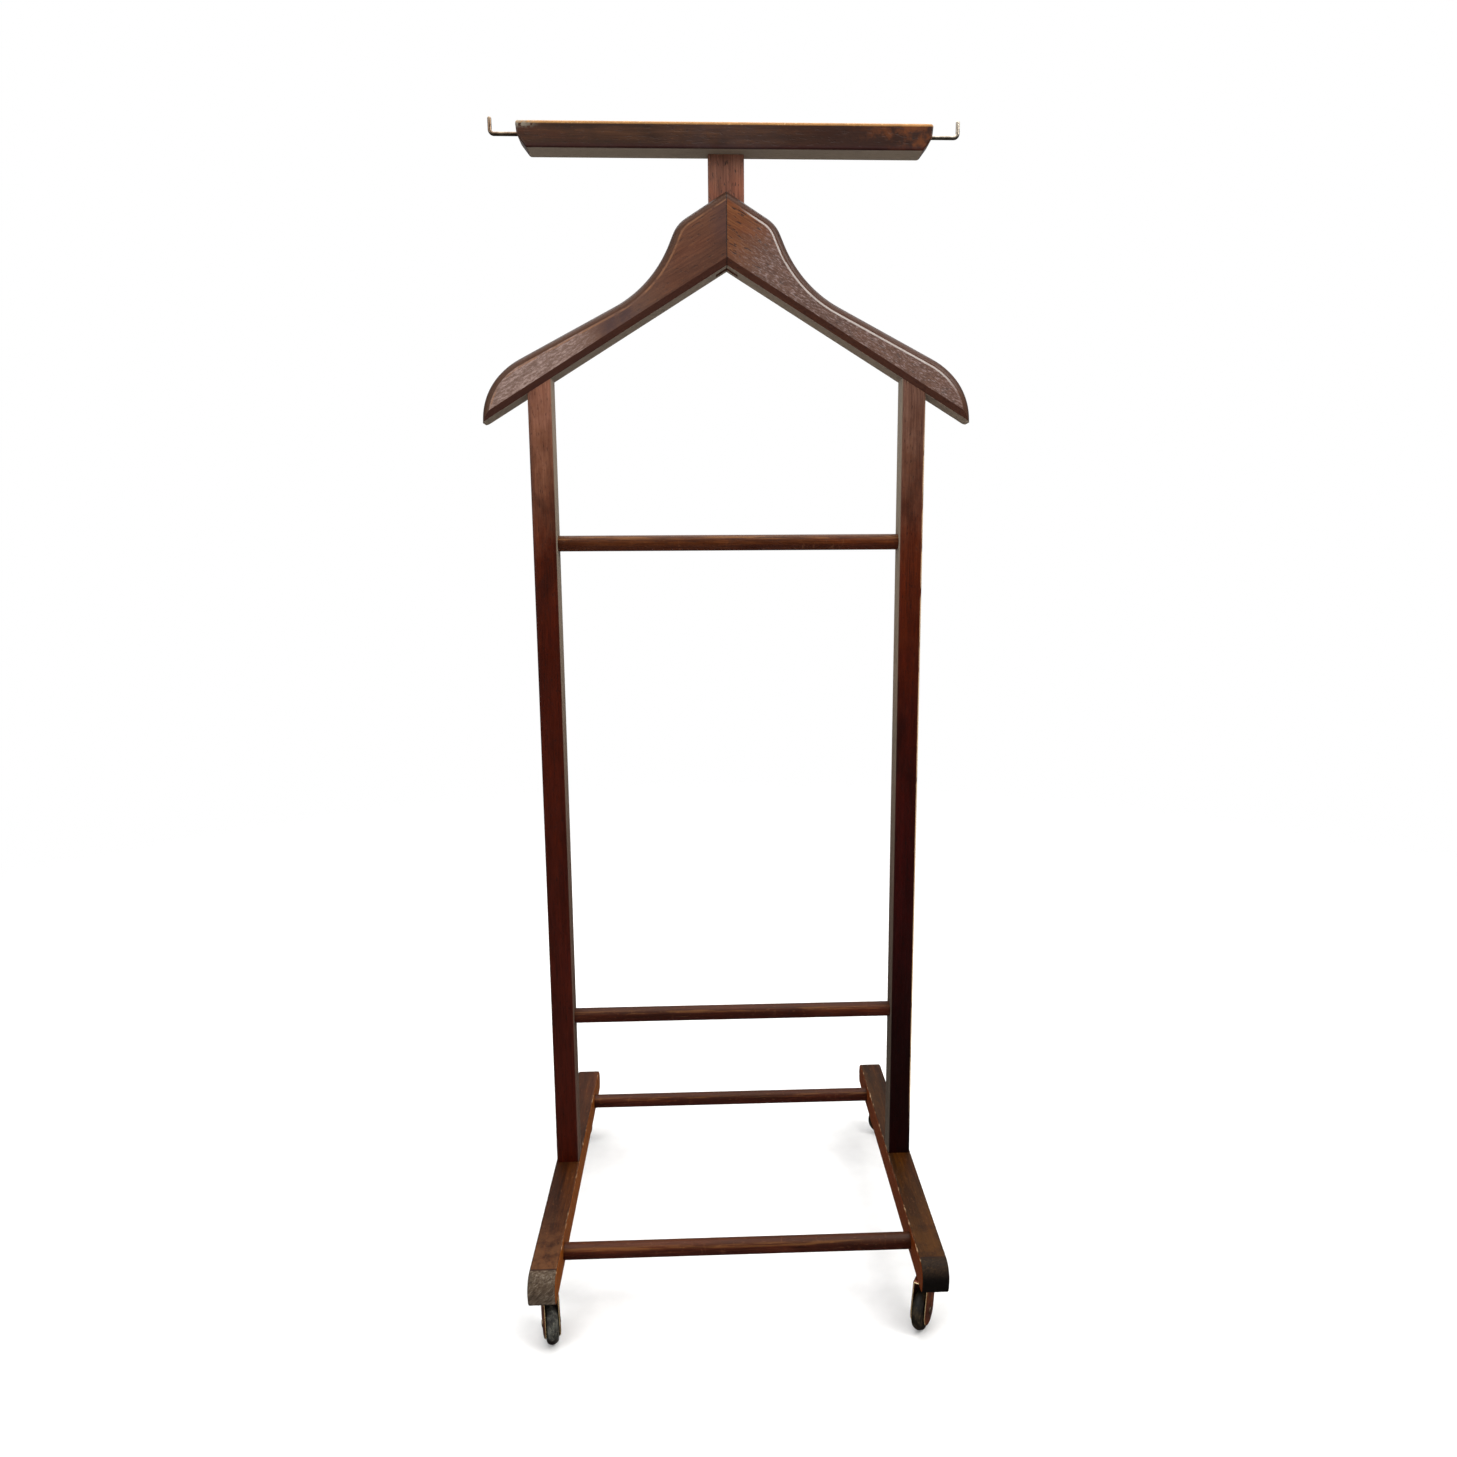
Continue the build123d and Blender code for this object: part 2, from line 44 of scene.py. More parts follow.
class Finish:
    """One procedural material: a colour, a roughness and a height that layers are added to.

    A mask is a socket that runs from 0 to 1. x, y and z are the place on the piece at rest. right, back
    and up say which way the surface faces: up is 1 on a top and -1 underneath, and back is -1 on a front.
    """

    def __init__(self, name):
        self.material = bpy.data.materials.new(name)
        self.material.use_nodes = True
        tree = self.material.node_tree
        self.nodes, self.links = tree.nodes, tree.links
        self.shader = next(n for n in self.nodes if n.type == "BSDF_PRINCIPLED")
        where = self.add("ShaderNodeTexCoord")
        self.place = where.outputs["Object"]
        self.x, self.y, self.z = self.add("ShaderNodeSeparateXYZ", {0: self.place}).outputs
        facing = self.add("ShaderNodeSeparateXYZ", {0: where.outputs["Normal"]})
        self.right, self.back, self.up = facing.outputs
        self.colour = self.rough = self.height = None

    def add(self, kind, inputs=None, **settings):
        made = self.nodes.new(kind)
        for key, value in settings.items():
            setattr(made, key, value)
        for key, value in (inputs or {}).items():
            self.feed(made.inputs[key], value)
        return made

    def feed(self, socket, value):
        if isinstance(value, bpy.types.NodeSocket):
            self.links.new(value, socket)
        else:
            socket.default_value = value

    def maths(self, operation, *values):
        made = self.add("ShaderNodeMath", dict(enumerate(values)), operation=operation)
        return made.outputs[0]

    def times(self, first, *others):
        for other in others:
            first = self.maths("MULTIPLY", first, other)
        return first

    def scaled(self, value, by, plus):
        """The value times one number, plus another."""
        return self.maths("MULTIPLY_ADD", value, by, plus)

    def either(self, first, second):
        return self.maths("MAXIMUM", first, second)

    def turned(self, rotation=(0, 0, 0), stretch=(1, 1, 1), shift=(0, 0, 0)):
        """Object coordinates turned first and then stretched, so that X runs along the grain."""
        lined_up = self.add("ShaderNodeMapping", {"Vector": self.place, "Rotation": rotation})
        values = {"Vector": lined_up.outputs[0], "Scale": stretch, "Location": shift}
        return self.add("ShaderNodeMapping", values).outputs[0]

    def noise(self, vector, scale, detail=3.0, roughness=0.55, distortion=0.0):
        values = {"Vector": vector, "Scale": scale, "Detail": detail}
        values |= {"Roughness": roughness, "Distortion": distortion}
        return self.add("ShaderNodeTexNoise", values).outputs["Fac"]

    def span(self, value, low, high):
        """0 at low and 1 at high, smooth between them."""
        values = {"Value": value, "From Min": low, "From Max": high}
        made = self.add("ShaderNodeMapRange", values, interpolation_type="SMOOTHSTEP")
        return made.outputs["Result"]

    def band(self, value, centre, half, soft):
        """1 within half of centre, falling to 0 over soft."""
        away = self.maths("ABSOLUTE", self.maths("SUBTRACT", value, centre))
        return self.span(away, half + soft, half)

    def ramp(self, value, stops):
        """A colour that runs through the stops, each a value and its colour."""
        made = self.add("ShaderNodeValToRGB", {0: value})
        points = made.color_ramp.elements
        for at, colour in stops[1:-1]:
            points.new(at).color = colour
        for point, (at, colour) in zip(points, stops):
            point.position, point.color = at, colour
        return made.outputs[0]

    def shade(self, value, tones, stops=(0.3, 0.5, 0.7)):
        """A dark, a middle and a light tone, chosen by the value."""
        return self.ramp(value, list(zip(stops, tones)))

    def paint(self, mask, colour, kind="MIX"):
        """Lays a colour over the ones before it, where the mask is 1."""
        made = self.add("ShaderNodeMix", data_type="RGBA", blend_type=kind)
        factor, under, over = made.inputs[0], made.inputs[6], made.inputs[7]
        for socket, value in ((factor, mask), (under, self.colour), (over, colour)):
            self.feed(socket, value)
        self.colour = made.outputs[2]

    def dull(self, mask, by):
        """Roughens the surface where the mask is 1."""
        self.rough = self.scaled(mask, by, self.rough)

    def raise_by(self, value, by):
        risen = self.times(value, by)
        self.height = risen if self.height is None else self.maths("ADD", self.height, risen)

    def edges(self, radius, low, high):
        """1 along the sharp edges of the piece and 0 on its flats, by how far a bevel turns the surface."""
        flat = self.add("ShaderNodeNewGeometry").outputs["Normal"]
        rounded = self.add("ShaderNodeBevel", {"Radius": radius}, samples=6).outputs[0]
        alike = self.add("ShaderNodeVectorMath", {0: flat, 1: rounded}, operation="DOT_PRODUCT")
        return self.span(self.maths("SUBTRACT", 1.0, alike.outputs["Value"]), low, high)

    def done(self, soften=0.0006, depth=0.0004, strength=0.6, **fixed):
        """Joins the layers to the shader; the fixed values go on the shader's own sockets."""
        self.feed(self.shader.inputs["Base Color"], self.colour)
        self.feed(self.shader.inputs["Roughness"], self.rough)
        rounded = self.add("ShaderNodeBevel", {"Radius": soften}, samples=4).outputs[0]
        values = {"Strength": strength, "Distance": depth, "Height": self.height}
        bump = self.add("ShaderNodeBump", values | {"Normal": rounded})
        self.feed(self.shader.inputs["Normal"], bump.outputs[0])
        for key, value in fixed.items():
            self.shader.inputs[key.replace("_", " ")].default_value = value
        return self.material


# ------------------------------------------------------------------------ wood

ALONG_X = (0, 0, 0)
ALONG_Y = (0, 0, math.radians(-90))
ALONG_Z = (0, math.radians(90), 0)
ARM_SLOPE = math.radians(30)  # how steeply the grain of the hanger's arms runs down

DARK_LINE = srgb(24, 12, 9)
RAW_WOOD = srgb(206, 172, 134)
WORN_STAIN = srgb(150, 98, 62)
# Painted reflection of the pale floor, laid on undersides.
OLIVE_FLOOR_REFLECTION = srgb(118, 106, 92)


def wood(
    name,
    grain,
    tones,
    seed,
    flecks=0.6,
    cloudy=0.5,
    streaks=0.5,
    worn=WORN_STAIN,
    wear=0.6,
    fleck_scale=620,
):
    """Stained wood under thin varnish: streaks and fibres along the grain, flecks, clouds and worn edges.

    flecks, cloudy and wear are strengths, streaks is the share of broad streaks against fine fibres, and
    worn is the colour where the stain has gone. The seed shifts the pattern, so that no two pieces are alike.
    """
    f = Finish(name)
    shift = (seed * 3.1, seed * 5.7, seed * 2.3)
    long_streaks = f.noise(f.turned(grain, (0.07, 1, 1), shift), 95, 4, 0.6, 0.4)
    fibres = f.noise(f.turned(grain, (0.05, 1, 1), shift), 780, 3, 0.65)
    figure = f.scaled(long_streaks, streaks, f.times(fibres, 1 - streaks))
    f.colour = f.shade(figure, tones, (0.32, 0.5, 0.68))

    clouds = f.noise(f.turned(grain, (0.5, 1, 1), shift), 17, 3, 0.6, 0.6)
    f.paint(f.times(f.span(clouds, 0.5, 0.3), cloudy), srgb(116, 104, 104), "MULTIPLY")
    f.paint(f.times(f.span(clouds, 0.5, 0.72), cloudy * 0.5), srgb(225, 160, 110), "OVERLAY")

    short = f.turned(grain, (0.26, 1, 1), shift)
    dark_flecks = f.span(f.noise(short, fleck_scale, 2, 0.5), 0.6, 0.7)
    other_short = f.turned(grain, (0.3, 1, 1), (seed, 4, 7))
    light_flecks = f.span(f.noise(other_short, 560, 2, 0.5), 0.62, 0.72)
    f.paint(f.times(dark_flecks, flecks), DARK_LINE)
    f.paint(f.times(light_flecks, flecks * 0.4), worn)

    f.rough = f.scaled(f.noise(f.place, 45, 5, 0.7), 0.3, 0.27)
    f.dull(dark_flecks, 0.12)
    f.raise_by(fibres, 0.5)
    f.raise_by(long_streaks, 0.35)
    f.raise_by(dark_flecks, -0.45)

    f.patches = f.noise(f.place, 60, 4, 0.7)
    f.specks = f.noise(f.place, 420, 3, 0.6)
    if wear:
        edge = f.times(f.edges(0.0016, 0.015, 0.16), f.span(f.patches, 0.42, 0.62), wear)
        f.paint(edge, worn)
        f.dull(edge, 0.12)
    return f


VARNISH = {
    "Coat_Weight": 0.15,
    "Coat_Roughness": 0.14,
    "Coat_IOR": 1.35,
    "IOR": 1.33,
}
DULL_VARNISH = {
    "Coat_Weight": 0.05,
    "Coat_Roughness": 0.2,
    "Coat_IOR": 1.3,
    "IOR": 1.33,
    "Specular_IOR_Level": 0.25,
}

STAIN = (srgb(86, 52, 41), srgb(122, 79, 62), srgb(150, 102, 82))
RED_STAIN = (srgb(60, 33, 24), srgb(86, 52, 37), srgb(112, 71, 50))
WARM_STAIN = (srgb(78, 42, 22), srgb(108, 62, 34), srgb(134, 84, 48))
TRAY_STAIN = (srgb(42, 22, 9), srgb(60, 33, 16), srgb(82, 50, 28))
UPPER_BAR_STAIN = (srgb(46, 19, 4), srgb(70, 32, 9), srgb(98, 54, 24))
LOW_BAR_STAIN = (srgb(32, 8, 1), srgb(50, 15, 3), srgb(74, 30, 10))


def front_of(f):
    """1 on an arm's flat front face."""
    return f.span(f.back, -0.960, -0.985)


def moulded(f, rounded_colour, arris, arris_highlight):
    """The hanger's shaped edges: a darker round-over, a painted highlight on the arris, painted shade on the
    bevel, and a painted floor reflection in olive underneath.
    """
    upward = f.span(f.up, -0.20, -0.02)
    sideways = f.span(f.maths("ABSOLUTE", f.right), 0.02, 0.10)
    above = f.times(f.either(upward, sideways), f.span(f.up, -0.45, -0.30), f.span(f.back, 0.25, -0.15))
    rounded = f.times(f.span(f.back, -0.988, -0.955), above)
    f.paint(f.times(rounded, 0.9), rounded_colour)
    f.paint(f.times(f.span(f.back, -0.93, -0.55), above, 0.6), srgb(150, 104, 52), "MULTIPLY")
    f.dull(rounded, 0.18)
    # A painted highlight along the arris.
    f.paint(f.times(f.band(f.back, -0.9895, 0.0060, 0.0040), above, arris), arris_highlight)
    # Painted shade: the downward-facing bevel along the front's lower edge is darkened.
    bevel = f.times(f.band(f.up, -0.62, 0.22, 0.10), f.span(f.back, -0.25, -0.45))
    f.paint(f.times(bevel, 0.8), srgb(66, 32, 22))
    # Painted reflection of the pale floor: the underside is turned olive grey.
    below = f.span(f.up, -0.72, -0.84)
    f.paint(f.times(below, 0.9), OLIVE_FLOOR_REFLECTION)


def left_arm():
    """Reddish brown with streaks along the arm; a dark smudge halfway, and a tip greyed by painted sheen and
    scuffed.
    """
    along = (0, ARM_SLOPE, 0)
    f = wood("left_arm_wood", along, RED_STAIN, 1.3, flecks=0.35, streaks=0.62, wear=0)
    front = front_of(f)
    # Painted sheen: the front face greys towards the tip.
    f.paint(f.times(f.span(f.x, -0.040, -0.090), front, 0.4), srgb(120, 92, 78))
    tip = f.times(f.span(f.x, -0.112, -0.150), front)
    scuffs = f.noise(f.turned(along, (0.25, 1, 1)), 720, 5, 0.8)
    # The tip: a painted grey sheen, with light and dark scuffs over it.
    f.paint(f.times(tip, 0.62), srgb(134, 110, 100))
    f.paint(f.times(tip, f.span(scuffs, 0.46, 0.64), 0.8), srgb(176, 152, 144))
    f.paint(f.times(tip, f.span(scuffs, 0.44, 0.34), 0.6), srgb(74, 52, 46))
    f.dull(tip, 0.16)
    smudge = f.times(f.band(f.x, -0.100, 0.008, 0.022), front, f.span(f.patches, 0.3, 0.6))
    f.paint(f.times(smudge, 0.55), srgb(62, 48, 54))
    by_mitre = f.times(f.band(f.x, 0.0, 0.004, 0.016), front, f.span(f.z, 0.985, 1.005))
    f.paint(f.times(by_mitre, 0.45), srgb(62, 46, 48))
    # Along the arris: rubbed wear and a painted highlight.
    rubbed = f.times(f.span(f.patches, 0.36, 0.58), 0.55)
    moulded(f, srgb(70, 36, 5), rubbed, srgb(150, 104, 70))
    mitre = f.span(f.x, -0.0007, -0.0001)
    f.paint(mitre, DARK_LINE)
    return f.done(**VARNISH)


def right_arm():
    """Orange brown by the mitre, turning to a painted grey and mauve sheen with fine light specks further
    out.
    """
    along = (0, -ARM_SLOPE, 0)
    f = wood("right_arm_wood", along, WARM_STAIN, 2.9, flecks=0.85, streaks=0.4, wear=0, fleck_scale=480)
    down_the_arm = f.scaled(f.z, -0.8, f.x)
    # Painted sheen: the outer part of the front face turns grey and mauve, with specks over it.
    outer = f.times(f.span(down_the_arm, -0.800, -0.730), front_of(f))
    f.paint(f.times(outer, f.scaled(f.patches, 0.5, 0.42)), srgb(98, 80, 74))
    specks = f.noise(f.turned(along, (0.25, 1, 1)), 820, 4, 0.75)
    f.paint(f.times(outer, f.span(specks, 0.50, 0.64), 0.65), srgb(166, 144, 140))
    f.paint(f.times(outer, f.span(specks, 0.46, 0.36), 0.6), srgb(62, 42, 38))
    f.dull(outer, 0.10)
    shine = f.times(f.span(f.x, 0.010, 0.030), f.span(f.x, 0.222, 0.200))
    shine = f.times(shine, f.scaled(f.patches, 0.6, 0.45))
    moulded(f, srgb(64, 30, 2), shine, srgb(206, 196, 190))
    mitre = f.span(f.x, 0.0006, 0.0001)
    f.paint(mitre, DARK_LINE)
    return f.done(**VARNISH)


# Painted shade: what the stain is multiplied by at each height, darker towards the foot
LEFT_POST_SHADE = (
    (0.31, srgb(125, 58, 14)),
    (0.68, srgb(125, 61, 14)),
    (0.77, srgb(154, 88, 33)),
    (0.86, srgb(215, 205, 190)),
    (0.92, srgb(255, 255, 255)),
)
RIGHT_POST_SHADE = (
    (0.27, srgb(58, 6, 3)),
    (0.44, srgb(90, 14, 4)),
    (0.61, srgb(112, 44, 10)),
    (0.69, srgb(145, 78, 24)),
    (0.77, srgb(170, 110, 62)),
    (0.86, srgb(190, 186, 180)),
    (0.92, srgb(222, 236, 245)),
)


def post(node, side):
    """Mid brown at the top and darkened by painted shade towards the foot, with a grey sheen on the inner
    side and chipped edges.
    """
    f = wood(f"{node}_wood", ALONG_Z, STAIN, 4.0 + side, flecks=0.45, wear=0.5)
    height = f.scaled(f.patches, 0.12, f.z)
    # Painted shade: the stain darkens towards the foot.
    f.paint(1.0, f.ramp(height, LEFT_POST_SHADE if side == LEFT else RIGHT_POST_SHADE), "MULTIPLY")
    inward = f.span(f.times(f.right, side), -0.60, -0.85)
    sheen = f.times(inward, f.scaled(f.span(f.z, 0.25, 0.85), 0.60, 0.25))
    f.paint(sheen, srgb(138, 126, 110))
    chips = f.times(f.edges(0.0012, 0.02, 0.12), f.span(f.specks, 0.6, 0.68))
    f.paint(f.times(chips, 0.8), RAW_WOOD)
    if side == RIGHT:
        low, high = box_of(node)
        beside = f.band(f.x, high.x - 0.0008, 0.0004, 0.0005)
        outer = f.times(beside, f.span(f.y, low.y + 0.0030, low.y + 0.0015))
        broken = f.span(f.noise(f.turned(ALONG_Z, (0.12, 1, 1)), 320, 4, 0.7), 0.34, 0.46)
        chipped = f.times(outer, broken, f.span(f.z, 0.10, 0.16), f.span(f.z, 0.87, 0.80))
        f.paint(f.times(chipped, 0.9), RAW_WOOD)
        f.dull(chipped, 0.25)
    return f.done(**DULL_VARNISH)


LEFT_FOOT = {
    "tones": (srgb(34, 14, 3), srgb(54, 24, 5), srgb(78, 42, 16)),
    "inner": srgb(128, 66, 10),
    "pale_top": srgb(108, 68, 38),
    "end_tones": (srgb(44, 34, 24), srgb(78, 65, 52), srgb(120, 108, 94)),
    "end_shadow": (0.0055, -0.0015),  # the dark lower part of the end, above the underside
}
RIGHT_FOOT = {
    "tones": (srgb(28, 12, 0), srgb(44, 21, 1), srgb(68, 38, 6)),
    "inner": srgb(98, 40, 2),
    "pale_top": srgb(78, 45, 6),
    "end_tones": (srgb(18, 10, 4), srgb(32, 20, 9), srgb(54, 39, 20)),
    "end_shadow": (0.0240, 0.0155),
}
NOSE = 0.0142  # how far back from its front end a foot's rounded nose starts


def foot(node, side):
    """Brown, with a worn front end of grey or dark end grain under a painted shadow low down, and chips along
    its inner top edge.
    """
    look = LEFT_FOOT if side == LEFT else RIGHT_FOOT
    low, high = box_of(node)
    nose = low.y + NOSE
    f = wood(f"{node}_wood", ALONG_Y, look["tones"], 7.0 + side, flecks=0.3, streaks=0.75)
    inward = f.span(f.times(f.right, side), -0.6, -0.85)
    f.paint(f.times(inward, 0.85), look["inner"])
    top = f.span(f.up, 0.85, 0.97)
    toward_front = f.span(f.y, -0.07, -0.17)
    f.paint(f.times(top, toward_front, f.span(f.patches, 0.35, 0.6), 0.5), look["pale_top"])

    not_a_side = f.span(f.maths("ABSOLUTE", f.right), 0.75, 0.5)
    end = f.times(f.span(f.y, nose, nose - 0.0014), not_a_side)
    end_grain = f.noise(f.turned((0, 0.75, 0), (0.22, 1, 1)), 560, 5, 0.75)
    f.paint(f.times(end, 0.92), f.shade(end_grain, look["end_tones"], (0.34, 0.52, 0.7)))
    # Painted shadow across the lower part of the end.
    shadow_from, shadow_to = look["end_shadow"]
    f.paint(f.times(end, f.span(f.z, low.z + shadow_from, low.z + shadow_to), 0.95), srgb(9, 4, 2))
    f.dull(end, 0.25)
    f.raise_by(f.times(end, end_grain), 1.2)
    f.paint(f.times(f.band(f.y, nose, 0.0005, 0.0008), top, 0.75), DARK_LINE)

    inner_edge = min(abs(low.x), abs(high.x)) + 0.0005
    beside = f.band(f.times(f.x, side), inner_edge, 0.0004, 0.0006)
    rim = f.times(beside, f.span(f.z, high.z - 0.0018, high.z - 0.0010))
    chips = f.span(f.noise(f.turned(ALONG_Y, (0.2, 1, 1)), 520, 4, 0.75), 0.52, 0.64)
    f.paint(f.times(rim, chips, 0.6), RAW_WOOD)
    return f.done(**DULL_VARNISH)


def tray():
    """Dark brown, with a golden top edge of worn stain and painted highlight, and a pale scrape at the left
    end.
    """
    low, high = box_of("tray")
    f = wood("tray_wood", ALONG_X, TRAY_STAIN, 11.0, flecks=0.2, streaks=0.7, cloudy=0.8)
    right_half = f.span(f.x, 0.02, 0.11)
    f.paint(f.times(right_half, 0.9), srgb(42, 13, 0))
    warm = f.times(f.span(f.x, 0.10, 0.17), f.span(f.patches, 0.40, 0.62))
    f.paint(f.times(warm, 0.7), srgb(112, 56, 12))
    bottom = f.span(f.z, low.z + 0.0050, low.z + 0.0020)
    f.paint(f.times(bottom, 0.7), srgb(48, 14, 12))
    smudge = f.times(f.band(f.x, 0.0, 0.020, 0.050), f.span(f.patches, 0.3, 0.6))
    f.paint(f.times(smudge, 0.35), srgb(52, 40, 42))
    # The golden top edge: worn stain and a painted highlight.
    rim = f.span(f.z, high.z - 0.0033, high.z - 0.0019)
    gold = f.scaled(f.patches, 0.8, 0.45)
    f.paint(f.times(rim, gold), srgb(196, 142, 84))
    f.paint(f.times(rim, f.span(f.specks, 0.6, 0.72)), srgb(226, 186, 132))
    # Painted reflection of the pale floor: the underside is turned olive grey.
    f.paint(f.times(f.span(f.up, -0.80, -0.95), 0.85), OLIVE_FLOOR_REFLECTION)
    corner = f.times(f.span(f.x, -0.164, -0.184), f.span(f.z, high.z - 0.0080, high.z - 0.0030))
    scrape = f.times(corner, f.span(f.specks, 0.40, 0.52))
    f.paint(f.times(scrape, 0.75), srgb(150, 142, 126))
    f.dull(scrape, 0.2)
    return f.done(**VARNISH)


def bar(node, seed, tones=LOW_BAR_STAIN, sheen=0.2):
    """A dark turned bar with painted light along its top and painted shade, dark red, underneath, a broken
    painted highlight along its top, and rings rubbed pale.
    """
    f = wood(f"{node}_wood", ALONG_X, tones, seed, flecks=0.3, streaks=0.55, wear=0)
    # Painted light on the upward-facing side; sheen also sets the strength of the rubbed rings.
    f.paint(f.times(f.span(f.up, 0.30, 0.85), sheen), srgb(84, 52, 24))
    broken = f.span(f.noise(f.turned(ALONG_X, (0.06, 1, 1)), 300, 3, 0.6), 0.45, 0.6)
    f.paint(f.times(f.band(f.up, 0.62, 0.08, 0.20), broken, sheen), srgb(150, 100, 52))
    # Painted shade: the downward-facing side darkened to dark red.
    f.paint(f.times(f.span(f.up, 0.15, -0.55), 0.5), srgb(54, 10, 2))
    rubs = f.span(f.noise(f.turned(ALONG_X, (3.0, 1, 1)), 70, 5, 0.75), 0.58, 0.7)
    f.paint(f.times(rubs, sheen), srgb(116, 70, 40))
    f.dull(rubs, 0.1)
    return f.done(**DULL_VARNISH)


def neck():
    """The flat upright behind the hanger, mid brown with fine flecks."""
    return wood("neck_wood", ALONG_Z, STAIN, 14.0, flecks=0.75, streaks=0.4).done(**VARNISH)


def bare_wood(name):
    """The unstained wood of the dowels."""
    tones = (srgb(176, 142, 102), srgb(198, 164, 122), srgb(214, 184, 144))
    f = wood(name, ALONG_Y, tones, 17.0, flecks=0.3, worn=srgb(226, 202, 166))
    return f.done(IOR=1.4)


# --------------------------------------------------------- metal, plastic, tyre


TARNISH = srgb(70, 50, 36)


def metal(name, tones, seed, rough=0.22, tarnish=TARNISH, edge=None, metallic=1.0):
    """Worn plated metal: clouds and spots of tarnish, fine scratches, and edges painted in the edge colour,
    as rubbed wear and a painted highlight.
    """
    f = Finish(name)
    clouds = f.noise(f.turned(shift=(seed, seed * 2, seed * 3)), 90, 5, 0.65, 0.5)
    f.colour = f.shade(clouds, tones)
    scratches = f.noise(f.turned((0.4, 0.7, 0.2), (0.04, 1, 1)), 1500, 2, 0.6)
    lines = f.span(scratches, 0.62, 0.72)
    spots = f.span(f.noise(f.place, 700, 3, 0.6), 0.62, 0.74)
    f.rough = f.scaled(clouds, 0.3, rough - 0.1)
    f.paint(f.times(spots, 0.6), tarnish)
    f.dull(spots, 0.25)
    f.paint(f.times(lines, 0.3), tones[2])
    f.dull(lines, 0.08)
    f.raise_by(lines, -0.4)
    f.raise_by(spots, -0.6)
    f.raise_by(clouds, 0.3)
    if edge:
        # Edges painted in the edge colour: rubbed wear and a painted highlight.
        rubbed = f.times(f.edges(0.0012, 0.01, 0.08), f.span(clouds, 0.22, 0.42))
        f.paint(rubbed, edge)
    return f.done(soften=0.0004, depth=0.0002, strength=0.4, Metallic=metallic)


BRONZE = (srgb(58, 18, 7), srgb(98, 40, 16), srgb(148, 80, 38))
DARK_BRONZE = srgb(34, 14, 10)
# Bright brass on the fork edges: wear and a painted highlight.
BRASS_WEAR_AND_HIGHLIGHT = srgb(240, 214, 160)


def castor_fork(name, seed):
    """Bronzed sheet metal, with rubbed wear and a painted bright brass highlight along its edges."""
    return metal(name, BRONZE, seed, rough=0.3, tarnish=DARK_BRONZE, edge=BRASS_WEAR_AND_HIGHLIGHT, metallic=0.55)


def rubber(name, seed, tones, dust_colour):
    """Dark rubber with dust in patches, and painted shade, reddish brown, low down where it meets the floor
    at rest.
    """
    f = Finish(name)
    clouds = f.noise(f.turned(shift=(seed, 0, seed)), 110, 5, 0.7)
    f.colour = f.shade(clouds, tones, (0.38, 0.5, 0.62))
    dust = f.span(f.noise(f.turned(stretch=(1, 1, 0.45)), 700, 5, 0.75), 0.5, 0.64)
    f.paint(f.times(dust, f.span(clouds, 0.4, 0.6), 0.6), dust_colour)
    f.rough = f.scaled(clouds, 0.35, 0.34)
    f.dull(dust, 0.12)
    f.raise_by(dust, 0.5)
    f.raise_by(f.noise(f.place, 1800, 2), 0.5)
    # Painted shade, reddish brown, low on the tyre by the floor.
    low = f.span(f.z, 0.016, 0.003)
    f.paint(f.times(low, 0.7), srgb(34, 10, 6))
    return f.done(depth=0.0003, strength=0.5, Specular_IOR_Level=0.25)


def plastic(name, seed):
    """Moulded grey plastic with a fine matt skin and small scuffs."""
    f = Finish(name)
    clouds = f.noise(f.turned(shift=(seed, seed, 0)), 130, 4, 0.6)
    tones = (srgb(42, 40, 37), srgb(58, 56, 52), srgb(76, 74, 68))
    f.colour = f.shade(clouds, tones, (0.3, 0.5, 0.72))
    scuffs = f.span(f.noise(f.turned((0.3, 0.5, 0.9), (0.1, 1, 1)), 900, 3), 0.6, 0.7)
    f.paint(f.times(scuffs, 0.4), srgb(120, 116, 106))
    f.rough = f.scaled(clouds, 0.3, 0.26)
    f.raise_by(f.noise(f.place, 2200, 2), 0.5)
    f.raise_by(scuffs, -0.4)
    return f.done(soften=0.0005, depth=0.0002, strength=0.4)


# ------------------------------------------------------------- dress the nodes


def dress(node, material):
    """Puts the material on every slot of a CAD piece."""
    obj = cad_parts[node]
    if not obj.material_slots:
        obj.data.materials.append(material)
    for one in obj.material_slots:
        one.material = material


# Each rubber's tones, and the colour of its dust
GREY_RUBBER = (srgb(16, 14, 12), srgb(38, 37, 33), srgb(74, 74, 68)), srgb(126, 122, 108)
BROWN_RUBBER = (srgb(8, 5, 2), srgb(20, 14, 6), srgb(40, 31, 16)), srgb(84, 70, 46)
NICKEL = (srgb(120, 110, 98), srgb(168, 158, 144), srgb(206, 198, 186))
BRONZE_NICKEL = (srgb(84, 64, 50), srgb(124, 104, 86), srgb(176, 158, 136))
STEEL = (srgb(112, 108, 102), srgb(148, 144, 138), srgb(184, 180, 174))

dress("hanger_arm_left", left_arm())
dress("hanger_arm_right", right_arm())
for finish, piece in ((post, "post"), (foot, "foot")):
    dress(f"{piece}_left", finish(f"{piece}_left", LEFT))
    dress(f"{piece}_right", finish(f"{piece}_right", RIGHT))
dress("upper_bar", bar("upper_bar", 20.0, UPPER_BAR_STAIN, sheen=0.4))
for seed, low_bar in enumerate(("lower_bar", "base_bar_front", "base_bar_back"), start=21):
    dress(low_bar, bar(low_bar, float(seed)))
dress("neck", neck())
dress("tray", tray())
dress("post_dowels", bare_wood("post_dowel_wood"))
dress("mitre_dowels", bare_wood("mitre_dowel_wood"))
dress("wire_hook_left", metal("left_hook_wire", BRONZE_NICKEL, 31.0, rough=0.26))
dress("wire_hook_right", metal("right_hook_wire", NICKEL, 32.0, rough=0.24))
dress("foot_screws", metal("foot_screw_steel", STEEL, 33.0, rough=0.34))
dress("tray_screws", metal("tray_screw_steel", STEEL, 34.0, rough=0.34))
